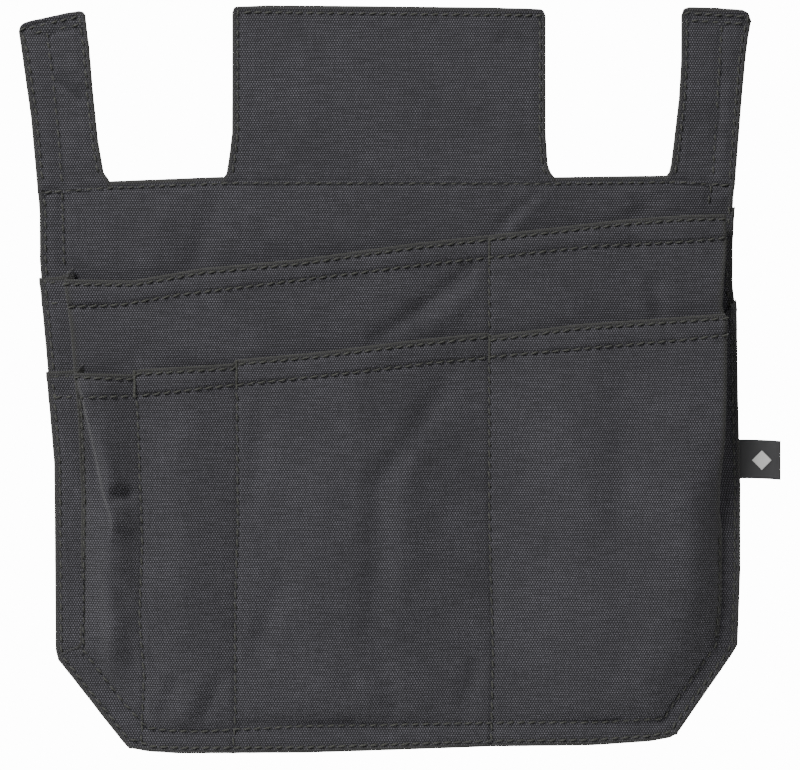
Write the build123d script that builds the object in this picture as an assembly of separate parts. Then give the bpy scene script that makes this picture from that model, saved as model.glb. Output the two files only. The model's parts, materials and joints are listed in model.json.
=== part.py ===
"""Garden tool pouch for a belt: a cloth back panel with a wide centre flap and two side tabs that fold back
over a belt, and two layers of tool pockets with side gussets sewn on its front.

Millimetres. +X is to the right seen from the front, the front faces -Y, +Z is up.
The origin is the middle of the fold line, halfway between the panel's two cloths.
"""

from build123d import *
import math
import os

# ---- driving dimensions --------------------------------------------------------------------------
CLOTH = 0.8            # one layer of canvas
PAD = 1.2              # hook or loop tape
HINGE_GAP = 0.3        # between the panel's top edge and the base of a flap or tab

FLANGE_LEFT = 10.0     # sewn-down edge of the pocket cloth, at the left side
FLANGE_RIGHT = 7.0     # and at the right side
REAR_DEPTH = 8.0       # clear depth of the rear pockets
FRONT_DEPTH = 7.0      # clear depth of the front pockets

CORNER_Z = -176.0      # where the cut-off corners start
SIDE_BENDS = (-30, -66, -110)   # heights where the side edges change direction

# Outer side edges of the panel, as (z, x), from the top down to the end of the cut-off corner.
LEFT_EDGE = [(0, -134.6), (-30, -134.5), (-66, -131.5), (-110, -128.5), (CORNER_Z, -128.5), (-211, -101.5)]
RIGHT_EDGE = [(0, 126.4), (-30, 125.0), (-66, 126.8), (-110, 128.5), (CORNER_Z, 127.0), (-206.5, 103.5)]
BOTTOM_EDGE = [(-80, -213.7), (-18, -212.6), (57, -211.1), (94, -209.3)]    # (x, z)

FULL_DEPTH_Z = -184.0  # pockets have their full depth from here up
BOTTOM_SEAM_Z = -202.5  # seam that closes the pockets at the bottom

# Seams that divide the pockets: x of each. The third goes through both pocket layers and the panel.
PEN_SEAM_X = -98.5
POUCH_SEAM_X = -61.0
MAIN_SEAM_X = 34.3
SEAM_HALF = 1.5        # half the flat strip along a seam

# How far from each seam its pocket reaches its full depth.
REAR_MAIN_REACH = 14.0
FRONT_PEN_REACH = 7.0
FRONT_POUCH_REACH = 8.0
FRONT_MAIN_REACH = 16.5

# How far a pocket's side leans in where it closes: at full depth, and at the bottom seam.
FULL_LEAN = 6.0
FOOT_LEAN = 1.0

# Top edges of the pockets, as (x, z).
REAR_HEM = [(-128, -36), (-98, -36), (34.3, -19.5), (84, -13.5), (126, -11.5)]
FRONT_HEM = [(-126, -71.6), (-98.5, -71.6), (34.3, -57.4), (126, -48)]

FLAP_LEFT, FLAP_RIGHT = -62.3, 55.6
FLAP_TOP_LEFT, FLAP_TOP_RIGHT = 66.6, 65.0
FLARE = 3.4            # how far the flap's base spreads
FLARE_LOW_Z, FLARE_TOP_Z = 4.0, 12.0
FLAP_CORNER_R = 2.0

TAB_WIDTH = 25.2
TAB_LENGTH = 66.0
TAB_CORNER_R = 3.5
# The middle of each tab's base, and its lean in degrees, + to the left.
LEFT_TAB = dict(x=-122.6, z=-1.2, lean=5.9)
RIGHT_TAB = dict(x=113.9, z=-0.9, lean=-4.5)

# The folds turn about lines behind the cloth and just above the seam, so that two tapes meet when folded.
FOLD_Y = CLOTH + PAD + 0.15
FOLD_Z = 2.4

CENTRE_PAD_W, CENTRE_HOOK_H = 90.0, 22.0
TAB_PAD_W = 20.0
LOOP_H = 36.0
LOOP_SPARE = 7.0       # how far the loop tapes reach below the folded hook tapes
HOOK_TOP = 61.0        # upper edge of the hook tapes above the seam

LABEL_REACH, LABEL_HEIGHT = 14.4, 14.4
LABEL_TOP_Z = -95.6
RIBBON = 0.35
LABEL_GAP = 0.4        # between the ribbon's two layers
DIAMOND_HALF = 3.6
DIAMOND_T = 0.15
LABEL_X = 129.2        # just outside the panel's edge, where the label hinges

BARTACK_W, BARTACK_H, BARTACK_T = 1.4, 10.5, 0.5

# Planes of the cloths, seen from the panel's middle towards the front.
PANEL_FRONT = -CLOTH
REAR_BASE = PANEL_FRONT                    # the rear pocket's sewn edge lies on this
FRONT_BASE = REAR_BASE - CLOTH             # the front pocket's sewn edge lies on this
REAR_INNER = REAR_BASE - REAR_DEPTH        # inside face of the rear pocket's front cloth
REAR_OUTER = REAR_INNER - CLOTH
FRONT_INNER = REAR_OUTER - FRONT_DEPTH
FRONT_OUTER = FRONT_INNER - CLOTH
WALL_STEP = 1.7        # the front pocket's gusset stands this far outside the rear one's
EASE = 0.05            # between the two pocket layers where one seam holds both


# ---- helpers -------------------------------------------------------------------------------------
def edge_x(stations, z):
    """x of a side edge at height z, by straight lines between its stations."""
    for (z_a, x_a), (z_b, x_b) in zip(stations, stations[1:]):
        if z >= z_b:
            return x_a + (x_b - x_a) * (z_a - z) / (z_a - z_b)
    return stations[-1][1]


def left_seam(z):
    return edge_x(LEFT_EDGE, z) + FLANGE_LEFT


def right_seam(z):
    return edge_x(RIGHT_EDGE, z) - FLANGE_RIGHT


def plate(points, y_front, y_back):
    """A flat cloth with the given (x, z) outline."""
    outline = Polyline(*[(x, y_back, z) for x, z in points], close=True)
    return extrude(make_face(outline), amount=y_back - y_front, dir=(0, -1, 0))


def ruled(sections):
    """A solid through closed (z, [(x, y), ...]) sections."""
    wires = [Wire.make_polygon([(x, y, z) for x, y in points], close=True) for z, points in sections]
    return Solid.make_loft(wires, True)


def below(hem):
    """Everything under a pocket's top edge."""
    reach, floor = 200, -230
    outline = [(-reach, hem[0][1])] + hem + [(reach, hem[-1][1]), (reach, floor), (-reach, floor)]
    return plate(outline, -60, 20)


def rounded(solid, tips, radius):
    """Rounds the corners of a flat cloth that stand nearest the given (x, z) points."""
    upright = solid.edges().filter_by(Axis.Y)
    edges = [min(upright, key=lambda e: math.hypot(e.center().X - x, e.center().Z - z)) for x, z in tips]
    return fillet(edges, radius)


def tab_point(tab, across, along):
    """(x, z) of a point in a tab's own directions."""
    a = math.radians(tab["lean"])
    return (tab["x"] + across * math.cos(a) - along * math.sin(a),
            tab["z"] + across * math.sin(a) + along * math.cos(a))


def tab_rectangle(tab, half_width, low, high):
    return [tab_point(tab, s, v) for s, v in
            [(-half_width, low), (half_width, low), (half_width, high), (-half_width, high)]]


# ---- back panel ----------------------------------------------------------------------------------
def panel_outline():
    half = TAB_WIDTH / 2
    top = [tab_point(LEFT_TAB, -half, 0), tab_point(LEFT_TAB, half, 0),
           tab_point(RIGHT_TAB, -half, 0), tab_point(RIGHT_TAB, half, 0)]
    right = [(x, z) for z, x in RIGHT_EDGE[1:]]
    left = [(x, z) for z, x in reversed(LEFT_EDGE[1:])]
    return top + right + BOTTOM_EDGE[::-1] + left


def panels():
    return {"front_panel": plate(panel_outline(), PANEL_FRONT, 0),
            "rear_panel": plate(panel_outline(), 0, CLOTH)}


# ---- flap and tabs -------------------------------------------------------------------------------
def loop_bottom():
    """Lower edge of the loop tapes: a little below where a folded flap's hook tape ends."""
    return 2 * FOLD_Z - HOOK_TOP - LOOP_SPARE


def flap():
    flare = [(FLARE, HINGE_GAP), (FLARE / 3, FLARE_LOW_Z), (0, FLARE_TOP_Z)]
    left_base = [(FLAP_LEFT - out, z) for out, z in flare]
    right_base = [(FLAP_RIGHT + out, z) for out, z in flare[::-1]]
    tips = [(FLAP_LEFT, FLAP_TOP_LEFT), (FLAP_RIGHT, FLAP_TOP_RIGHT)]
    points = left_base + tips + right_base
    middle = (FLAP_LEFT + FLAP_RIGHT) / 2
    half = CENTRE_PAD_W / 2

    def tape(low, high):
        outline = [(middle - half, low), (middle + half, low), (middle + half, high), (middle - half, high)]
        return plate(outline, CLOTH, CLOTH + PAD)

    loop_low = loop_bottom()
    return {"flap_front": rounded(plate(points, PANEL_FRONT, 0), tips, FLAP_CORNER_R),
            "flap_lining": rounded(plate(points, 0, CLOTH), tips, FLAP_CORNER_R),
            "flap_hook_tape": tape(HOOK_TOP - CENTRE_HOOK_H, HOOK_TOP),
            "centre_loop_tape": tape(loop_low, loop_low + LOOP_H)}


def side_tab(tab, name):
    half = TAB_WIDTH / 2
    points = tab_rectangle(tab, half, HINGE_GAP, TAB_LENGTH)
    tips = points[2:]
    hook = tab_rectangle(tab, TAB_PAD_W / 2, HOOK_TOP - CENTRE_HOOK_H, HOOK_TOP)
    loop = tab_rectangle(tab, TAB_PAD_W / 2, loop_bottom(), loop_bottom() + LOOP_H)
    return {f"{name}_tab_front": rounded(plate(points, PANEL_FRONT, 0), tips, TAB_CORNER_R),
            f"{name}_tab_lining": rounded(plate(points, 0, CLOTH), tips, TAB_CORNER_R),
            f"{name}_hook_tape": plate(hook, CLOTH, CLOTH + PAD),
            f"{name}_loop_tape": plate(loop, CLOTH, CLOTH + PAD)}


# ---- pockets -------------------------------------------------------------------------------------
def dip(x, width, y_top, y_seam):
    """The inner face's points where a seam holds the cloth down: slope, flat strip, slope."""
    return [(x - width, y_top), (x - SEAM_HALF, y_seam), (x + SEAM_HALF, y_seam), (x + width, y_top)]


def side_levels(top):
    """The heights of a side's sections, from the cut-off corner up to top."""
    return [CORNER_Z] + [z for z in SIDE_BENDS[::-1] if z < top] + [top]


def rear_face():
    return dip(MAIN_SEAM_X, REAR_MAIN_REACH, REAR_INNER, REAR_BASE)


def front_face():
    pen = dip(PEN_SEAM_X, FRONT_PEN_REACH, FRONT_INNER, REAR_OUTER - EASE)
    pouch = dip(POUCH_SEAM_X, FRONT_POUCH_REACH, FRONT_INNER, REAR_OUTER - EASE)
    main_seam = dip(MAIN_SEAM_X, FRONT_MAIN_REACH, FRONT_INNER, FRONT_BASE - EASE)
    return pen + pouch + main_seam


def pocket_panel(face, base, inner, step, top):
    """A pocket's front cloth: upright between its gussets, closing onto the panel at the bottom and at the
    cut-off corners, with its sewn-down edge. step is how far its sides stand outside the seam."""
    levels = side_levels(top)

    def upright(z):
        left, right = left_seam(z) - step, right_seam(z) + step
        line = [(left, inner)] + face + [(right, inner)]
        return z, line + [(x, y - CLOTH) for x, y in reversed(line)]

    def closing(z, share, lean):
        """The section with its side walls and sewn edges; share is how much depth is left."""
        left, right = left_seam(z) - step, right_seam(z) + step
        out_left, out_right = edge_x(LEFT_EDGE, z), edge_x(RIGHT_EDGE, z)
        low, high = left + lean + 2 * CLOTH, right - lean - 2 * CLOTH
        squeeze = (high - low) / (right_seam(CORNER_Z) - left_seam(CORNER_Z))

        def place(x):
            """The seams draw together as the pocket narrows."""
            return x if lean < 1 else MAIN_SEAM_X + (x - MAIN_SEAM_X) * min(1.0, squeeze * 1.02)

        depth = share * (inner - base)
        inside = ([(out_left, base), (left + CLOTH, base), (left + lean + CLOTH, base + depth)]
                  + [(place(x), base + share * (y - base)) for x, y in face]
                  + [(right - lean - CLOTH, base + depth), (right - CLOTH, base), (out_right, base)])
        outside = ([(out_left, base), (left, base), (left + lean, base + depth)]
                   + [(place(x), base + share * (y - base)) for x, y in face]
                   + [(right - lean, base + depth), (right, base), (out_right, base)])
        return z, inside + [(x, y - CLOTH) for x, y in reversed(outside)]

    upper = ruled([upright(z) for z in levels])
    lower = ruled([closing(CORNER_Z, 1, 0), closing(FULL_DEPTH_Z, 1, FULL_LEAN)])
    foot = ruled([closing(FULL_DEPTH_Z, 1, FULL_LEAN), closing(BOTTOM_SEAM_Z, 0, FOOT_LEAN)])
    left_foot = [(edge_x(LEFT_EDGE, BOTTOM_SEAM_Z), BOTTOM_SEAM_Z), LEFT_EDGE[-1][::-1]]
    right_foot = [RIGHT_EDGE[-1][::-1], (edge_x(RIGHT_EDGE, BOTTOM_SEAM_Z), BOTTOM_SEAM_Z)]
    return upper + lower + foot + plate(left_foot + BOTTOM_EDGE + right_foot, base - CLOTH, base)


def gusset(stations, seam, side, base, inner, step, top):
    """A side wall from a pocket's sewn edge to its front cloth; side is +1 at the left, -1 at the right."""

    def section(z):
        out = edge_x(stations, z)
        wall = seam(z) - side * step
        return z, [(out, base), (wall + side * CLOTH, base), (wall + side * CLOTH, inner), (wall, inner),
                   (wall, base - CLOTH), (out, base - CLOTH)]

    return ruled([section(z) for z in side_levels(top)])


def pockets():
    rear = pocket_panel(rear_face(), REAR_BASE, REAR_INNER, 0, -5)
    front = pocket_panel(front_face(), FRONT_BASE, FRONT_INNER, WALL_STEP, -40)
    made = {"rear_pocket_panel": rear & below(REAR_HEM), "front_pocket_panel": front & below(FRONT_HEM)}
    for layer, base, inner, step, hem in (("rear", REAR_BASE, REAR_INNER, 0, REAR_HEM),
                                          ("front", FRONT_BASE, FRONT_INNER, WALL_STEP, FRONT_HEM)):
        left_wall = gusset(LEFT_EDGE, left_seam, 1, base, inner, step, hem[0][1])
        right_wall = gusset(RIGHT_EDGE, right_seam, -1, base, inner, step, hem[-1][1])
        made[f"{layer}_pocket_left_gusset"] = left_wall
        made[f"{layer}_pocket_right_gusset"] = right_wall
    return made


# ---- trim ----------------------------------------------------------------------------------------
def bartacks():
    """Dense stitched bars at the top of each dividing seam."""
    on_rear_pocket = REAR_OUTER - EASE - CLOTH
    places = [(PEN_SEAM_X, -71.6, on_rear_pocket), (POUCH_SEAM_X, -67.6, on_rear_pocket),
              (MAIN_SEAM_X, -57.4, FRONT_BASE - EASE - CLOTH), (MAIN_SEAM_X, -19.5, REAR_BASE - CLOTH)]
    bar = Box(BARTACK_W, BARTACK_T, BARTACK_H)
    bars = [Pos(x, y - BARTACK_T / 2, z - BARTACK_H / 2) * bar for x, z, y in places]
    return {"pocket_bartacks": Compound(children=bars)}


def label():
    """A folded ribbon caught in the side seam, with a plain woven diamond."""
    low, high = LABEL_TOP_Z - LABEL_HEIGHT, LABEL_TOP_Z
    x_0, x_1 = LABEL_X, LABEL_X + LABEL_REACH
    outer, inner = LABEL_GAP / 2 + RIBBON, LABEL_GAP / 2
    loop = [(x_0, -outer), (x_1 - outer, -outer), (x_1, 0), (x_1 - outer, outer), (x_0, outer), (x_0, inner),
            (x_1 - outer, inner), (x_1 - RIBBON, 0), (x_1 - outer, -inner), (x_0, -inner)]
    middle_x, middle_z = (x_0 + x_1) / 2, (low + high) / 2
    diamond = [(middle_x - DIAMOND_HALF, middle_z), (middle_x, middle_z - DIAMOND_HALF),
               (middle_x + DIAMOND_HALF, middle_z), (middle_x, middle_z + DIAMOND_HALF)]
    return {"label_ribbon": ruled([(low, loop), (high, loop)]),
            "label_diamond": plate(diamond, -outer - DIAMOND_T, -outer)}


def main():
    tabs = side_tab(LEFT_TAB, "left") | side_tab(RIGHT_TAB, "right")
    made = panels() | flap() | tabs | pockets() | bartacks() | label()
    os.makedirs("parts", exist_ok=True)
    for name, shape in made.items():
        export_step(shape, f"parts/{name}.step")


main()
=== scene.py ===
"""The looks of a cloth tool pouch for a belt: its sewn sheets, threads, tapes and label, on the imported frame.

Sizes here are millimetres until a mesh is made. x runs to the right and z up, seen from the front. A height
is how far a surface stands in front of the plane between the panel's two cloths, so a point's y is minus its
height.
"""

import json
import math

import bpy
import numpy as np
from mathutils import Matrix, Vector


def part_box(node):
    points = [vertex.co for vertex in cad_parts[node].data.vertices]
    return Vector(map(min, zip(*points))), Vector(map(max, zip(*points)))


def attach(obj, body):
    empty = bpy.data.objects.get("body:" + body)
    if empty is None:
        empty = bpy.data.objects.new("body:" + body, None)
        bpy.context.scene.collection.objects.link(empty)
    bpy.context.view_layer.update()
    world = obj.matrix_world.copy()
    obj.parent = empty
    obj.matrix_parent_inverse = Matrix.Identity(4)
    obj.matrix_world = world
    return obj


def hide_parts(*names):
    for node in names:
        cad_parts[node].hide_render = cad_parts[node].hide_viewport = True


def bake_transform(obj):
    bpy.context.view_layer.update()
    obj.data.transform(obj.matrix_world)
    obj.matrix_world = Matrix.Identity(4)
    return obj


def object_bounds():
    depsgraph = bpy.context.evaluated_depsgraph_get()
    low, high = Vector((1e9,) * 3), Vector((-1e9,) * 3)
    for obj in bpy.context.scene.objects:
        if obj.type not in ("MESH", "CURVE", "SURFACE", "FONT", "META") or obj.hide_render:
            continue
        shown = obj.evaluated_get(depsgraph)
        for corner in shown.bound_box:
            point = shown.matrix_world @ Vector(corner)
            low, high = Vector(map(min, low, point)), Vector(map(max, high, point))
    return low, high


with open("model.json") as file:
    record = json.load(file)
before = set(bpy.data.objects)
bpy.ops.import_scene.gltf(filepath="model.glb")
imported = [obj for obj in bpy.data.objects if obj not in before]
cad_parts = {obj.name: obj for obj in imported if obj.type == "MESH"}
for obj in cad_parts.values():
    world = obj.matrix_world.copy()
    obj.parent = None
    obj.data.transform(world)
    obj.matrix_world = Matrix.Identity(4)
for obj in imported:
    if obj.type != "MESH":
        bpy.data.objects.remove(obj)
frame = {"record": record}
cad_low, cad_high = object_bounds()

MM = 0.001
# The spacing of a sheet's points, and of those beside its edges.
COARSE, FINE = ((1.7, 0.55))

# ---- the frame's own sizes ----


def corners(node):
    """A node's lowest and highest corners, in millimetres."""
    low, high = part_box(node)
    return np.array(low) / MM, np.array(high) / MM


JOINTS = {j["name"]: j for j in frame["record"]["behaviour"]["joints"]}
CLOTH = corners("front_panel")[1][1] - corners("front_panel")[0][1]
PANEL_TOP = CLOTH                      # height of the front panel's face
REAR_FLANGE = 2 * CLOTH                # height of the rear pocket's sewn edge
FRONT_FLANGE = 3 * CLOTH               # height of the front pocket's sewn edge
TAPE = corners("centre_loop_tape")[1][1] - corners("centre_loop_tape")[0][1]

STITCH = 3.9                           # one stitch and its gap
THREAD_R = 0.36
STITCH_RISE = 0.42                     # how high a stitch arches
STITCH_SLANT = 0.19                    # its turn off its row, in radians
EDGE_INSET = 2.1                       # topstitching to the cloth's edge
CANVAS_PERIOD = (0.96, 1.72)           # two threads across, and two rows up, in the weave
RIM_BULGE = 0.4                        # how far a sheet's rim swells, as a share of its thickness
FOLD_SCALE = 1.8                       # raises the heights listed for folds
PANEL_FOLDS = 0.62                     # lowers the panel's folds, as both its cloths take them
GROOVE, DIP, PUCKER = 0.62, 0.20, 0.12    # a seam's narrow groove, the dip round it, and its puckers
EDGE_RAISE, HEM_RAISE, EDGE_ROLL = 0.3, 0.5, 0.55    # turned cloth stands up, and rolls off at its fold
MAIN_SEAM_X = 34.3
WALL_FOOT = -176.0                     # where each side wall ends

# ---- outlines, as (z, x) for what runs up and down and (x, z) for what runs across ----

BODY_LEFT = [(3, -135), (-1, -135), (-10, -134.3), (-28, -134.2), (-64, -131.3), (-104, -128.5),
             (-174, -128.2), (-177.5, -127.3), (-208, -103), (-211, -100.4)]
BODY_RIGHT = [(3, 126.5), (-5, 125.6), (-23, 124.9), (-37, 124.9), (-46, 126.2), (-80, 127.1),
              (-113, 128.2), (-144, 128.2), (-172, 127.2), (-176, 124.8), (-206, 104)]
BODY_BOTTOM = [(-101, -210.6), (-93, -211.9), (-82, -212.6), (-33, -212.3), (0, -211.2), (35, -210),
               (72, -209.6), (94, -208.1), (102, -206.6), (105, -205)]
# The row of stitches along the fold.
TOP_ROW = [(-133.2, -2.5), (-111, -0.8), (-63, 1.1), (55, 0.8), (104, 1.5), (124.4, 0.2)]

LEFT_FOLD = [(-33, -125.1), (-54, -122.2), (-69, -121), (-85, -119.2), (-117, -118.2), (-173, -118.8)]
RIGHT_FOLD = [(-8, 122.2), (-24, 122.6), (-35, 121.6), (-46, 121), (-50, 122.6), (-77, 122.3), (-96, 121.8),
              (-111, 120.4), (-122, 120.3), (-129, 121.4), (-155, 121.3), (-170, 120)]
LEFT_CHAMFER_SEAM = [(-118.6, -172.9), (-110.6, -183.4), (-102.4, -193.9), (-94.1, -202.9)]
BOTTOM_SEAM = [(-94.1, -202.9), (-86, -204), (-75, -204.4), (-35, -202.3), (-7.5, -202), (20, -201.4),
               (46, -201), (74, -201), (99.4, -199.5)]
RIGHT_CHAMFER_SEAM = [(99.4, -199.5), (102.8, -194.3), (120, -170.6)]

REAR_HEM = [(-126, -35.2), (-99, -35.6), (-73.5, -31.1), (-37, -27.7), (5, -21.8), (34, -18.6),
            (58.5, -15.8), (82, -13.1), (106, -11.3), (123, -10.9)]
REAR_HEM_SEAM = [(-124, -45.4), (-102, -44.3), (-82.5, -40.9), (-67, -39), (-26.6, -34.1), (8.6, -29.6),
                 (34, -26.9), (74, -22.5), (106, -21), (123, -19.5)]
FRONT_HEM = [(-122, -70.1), (-99.4, -70.9), (-97.6, -69), (-61.9, -66.8), (-60, -65.2), (-31, -62.6),
             (5, -58.1), (33.4, -55.1), (34.9, -56.2), (66.4, -52.1), (98, -49.9), (124, -48)]
FRONT_HEM_SEAM = [(-120, -79.2), (-99.4, -78.8), (-62, -74.6), (-16.5, -69.8), (12, -66.2), (34, -64.2),
                  (74, -60.4), (106, -57.8), (124, -55.8)]

PEN_SEAM = [(-68.6, -98.6), (-80, -97.6), (-117, -96.2), (-133, -95.6), (-162, -96.7), (-183, -94.9),
            (-209, -96.3)]
POUCH_SEAM = [(-65, -60.4), (-127, -59.9), (-155, -60.9), (-197, -60.9), (-211, -61.9)]
MAIN_SEAM = [(-18.4, 34.2), (-123, 34.2), (-152, 34.9), (-175, 35.6), (-210, 34.9)]

FLAP_LEFT = [(67.6, -62.2), (20, -62.2), (13.5, -62.9), (4.9, -64.2), (2.4, -66), (-3, -67.5)]
FLAP_RIGHT = [(67.6, 55.4), (20, 55.3), (8, 56.1), (4.9, 57.3), (2.6, 59.2), (-3, 61)]
FLAP_TOP = [(-63, 67.2), (-50, 67.7), (-30, 67.6), (38, 66.9), (56, 65.9)]
LEFT_TAB_LEFT = [(66, -143.2), (50, -141), (26, -137.6), (2, -135.4), (-4, -135)]
LEFT_TAB_RIGHT = [(66, -117.4), (53, -115.9), (35, -114.4), (17, -112.5), (5, -110.4), (2.4, -108.4),
                  (-4, -106)]
LEFT_TAB_TOP = [(-144, 60.2), (-119.5, 65.7), (-115, 65.9)]
RIGHT_TAB_LEFT = [(67, 106.2), (47, 106.1), (33, 105.4), (20, 103.9), (8, 102.4), (5, 101.6), (3, 99.8),
                  (-4, 98)]
RIGHT_TAB_RIGHT = [(67, 133.4), (56, 131.3), (47, 130.1), (30, 128.6), (11, 127.1), (2, 126.4), (-4, 126)]
RIGHT_TAB_TOP = [(106, 67.1), (120, 66.8), (134, 65.2)]

LEFT_TAB_HEM = [(60, -132), (40, -129.4), (22, -127.5), (1, -126), (-30, -125.2)]
RIGHT_TAB_HEM = [(62, 121.5), (4, 118.1), (-7, 116.3)]

# ---- folds that the cloth holds: start, end, height (- is a valley), half width ----

# Below its corner the front pocket's cloth lies in a pleat over its side wall, with its edge along this line.
PLEAT = [(-66, -121), (-70.5, -119.4), (-80.2, -117.2), (-99, -112.9), (-114, -109.9), (-125.2, -106.1),
         (-150, -108.5), (-212, -108.5)]
BODY_FOLDS = [((54.4, 0), (36, -17.5), -1.0, 1.7), ((56.5, -2.5), (40, -19), 0.6, 2.2),
              ((-67.5, -1.5), (-77, -30), -0.9, 4.0), ((-84, -4), (-93, -30), 0.5, 5),
              ((99.8, -2), (88, -12), -0.8, 3.5), ((-60, -8), (-20, -20), 0.35, 7),
              ((70, -4), (78, -13), 0.4, 5)]
REAR_FOLDS = [((29, -30), (8.6, -46), -0.9, 2.6), ((8.6, -46), (-9, -58), -0.8, 3.2),
              ((33, -36), (14, -52), 0.6, 3.5), ((85.5, -20), (96.4, -37), -0.7, 3.2),
              ((96.4, -37), (98, -52), -0.9, 3.2), ((-112, -45), (-96, -66), -0.6, 4),
              ((-98, -50), (-70, -66), 0.6, 6), ((-60, -42), (-40, -60), -0.5, 5)]
FRONT_FOLDS = [((15.8, -78), (-7, -112), -1.0, 4.5), ((-7, -112), (-9.5, -172), -1.1, 5.5),
               ((-6, -176), (-1, -200), -0.7, 4), ((-43, -148), (-54, -178), -0.8, 4.5),
               ((30, -176), (24, -199), -0.9, 3.5), ((4, -95), (2, -150), 0.7, 6),
               ((-30, -110), (-34, -160), 0.5, 8), ((55, -70), (72, -120), 0.7, 9),
               ((84, -90), (76, -150), -0.5, 9), ((-50, -80), (-56, -120), -0.5, 4),
               ((-84, -100), (-80, -150), 0.5, 6), ((-66, -184), (-74, -201), -0.9, 2.6),
               ((-83, -185), (-89, -199), -0.8, 2.6), ((-74, -186), (-81, -200), 0.6, 2.8),
               ((-99.6, -174), (-99, -181), -0.8, 2.2), ((-92, -175), (-90, -181), -0.7, 2.0),
               ((-104, -160), (-108, -176), 0.5, 3.2)]
PEN_FOLDS = [((-111.6, -93), (-106, -112), 0.9, 2.2), ((-107, -116), (-98.5, -115.5), -1.7, 2.6),
             ((-108, -124.5), (-98, -128.5), 0.9, 2.4), ((-108.4, -144), (-101.2, -156), -1.0, 2.2),
             ((-104, -136), (-99.5, -144), 0.6, 2.4)]
FLAP_FOLDS = [((38.6, 56.3), (49.1, 51.8), -0.5, 2.6), ((-40, 20), (10, 34), 0.3, 12),
              ((20, 8), (40, 30), -0.3, 8)]
LEFT_TAB_FOLDS = [((-126.4, 41), (-118, 33), -0.9, 2.0), ((-124, 45), (-117, 38), 0.5, 2.4),
                  ((-122, 14), (-117, 24), 0.3, 5)]
RIGHT_TAB_FOLDS = [((109, 20), (120, 26), -0.3, 5), ((124, 40), (128, 48), -0.3, 3)]


# ---- curves and heights ----
def curve(points):
    """A function through (at, value) points, in straight stretches."""
    at, value = zip(*sorted(points))
    return lambda t: np.interp(t, at, value)


def ease(t):
    """A smooth step from 0 at 0 to 1 at 1."""
    t = np.clip(t, 0, 1)
    return t * t * (3 - 2 * t)


def soft_curve(points):
    """Like curve, but level at every point."""
    at, value = (np.array(column, float) for column in zip(*sorted(points)))

    def read(t):
        t = np.clip(t, at[0], at[-1])
        i = np.clip(np.searchsorted(at, t, side="right") - 1, 0, len(at) - 2)
        return value[i] + (value[i + 1] - value[i]) * ease((t - at[i]) / (at[i + 1] - at[i]))
    return read


def upright(points):
    """(z, x) points as (x, z) points."""
    return [(x, z) for z, x in points]


def distance(x, z, line):
    """How far points are from a line of straight stretches, and how far along it the nearest place is."""
    best, along, walked = np.full(np.shape(x), 1e9), np.zeros(np.shape(x)), 0.0
    for (x_a, z_a), (x_b, z_b) in zip(line, line[1:]):
        length = math.hypot(x_b - x_a, z_b - z_a)
        t = np.clip(((x - x_a) * (x_b - x_a) + (z - z_a) * (z_b - z_a)) / length ** 2, 0, 1)
        d = np.hypot(x - x_a - t * (x_b - x_a), z - z_a - t * (z_b - z_a))
        along = np.where(d < best, walked + t * length, along)
        best = np.minimum(best, d)
        walked += length
    return best, along


def from_edges(x, z, lines):
    """How far points are from the nearest of some lines."""
    return np.min([distance(x, z, line)[0] for line in lines], axis=0)


def folds(x, z, held):
    """The height that folds add."""
    total = np.zeros(np.shape(x))
    for (x_a, z_a), (x_b, z_b), height, half in held:
        length = math.hypot(x_b - x_a, z_b - z_a)
        along = ((x - x_a) * (x_b - x_a) + (z - z_a) * (z_b - z_a)) / length ** 2
        across = ((x - x_a) * (z_b - z_a) - (z - z_a) * (x_b - x_a)) / length
        ends = ease((along + 0.25) / 0.4) * ease((1.25 - along) / 0.4)
        total += FOLD_SCALE * height * ends * np.exp(-(across / half) ** 2)
    return total


def ripple(x, z, seed, size=1.0):
    """Slow unevenness of cloth that lies loose, the same each time for one seed."""
    random = np.random.default_rng(seed)
    total = np.zeros(np.shape(x))
    for length in (70, 52, 38, 27, 19, 13):
        turn, phase = random.uniform(0, 2 * math.pi, 2)
        across, along = x * math.sin(turn) - z * math.cos(turn), x * math.cos(turn) + z * math.sin(turn)
        wobble = 0.6 * np.sin(across * 2 * math.pi / (length * 2.3) + phase)
        total += length * np.sin(along * 2 * math.pi / length + phase + wobble)
    return total * size / 250


def sewn(x, z, lines, seed=0):
    """The groove that each row of stitches pulls, and the puckers beside it."""
    total = np.zeros(np.shape(x))
    for k, line in enumerate(lines):
        d, along = distance(x, z, line)
        phase = seed + 1.7 * k
        pucker = np.sin(along * 0.62 + phase) + 0.7 * np.sin(along * 1.05 + 2.3 * phase)
        total -= GROOVE * np.exp(-(d / 0.8) ** 2) + DIP * np.exp(-(d / 2.8) ** 2)
        total += PUCKER * pucker * np.exp(-(d / 2.6) ** 2)
    return total


def turned(d, hem=0.0):
    """The height of a turned edge at distance d inside it: rolled off at the fold, and thick to the hem."""
    wide = HEM_RAISE * (1 - ease(d - hem)) if hem else 0
    return EDGE_RAISE * (1 - ease((d - 4) / 1.6)) + wide - EDGE_ROLL * np.exp(-(d / 0.6) ** 2)


# ---- sheets ----
def stations(length):
    """Places from 0 to 1 along a stretch, closer together near its ends."""
    near = [FINE * k for k in range(1, 5) if FINE * k < length / 2.5]
    close = near[-1] if near else 0
    rest = length - 2 * close
    places = np.linspace(0, rest, max(1, round(rest / COARSE)) + 1) + close
    if near:
        places = np.concatenate([[0], near[:-1], places, [length - n for n in near[:-1][::-1]], [length]])
    return places / length


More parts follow.
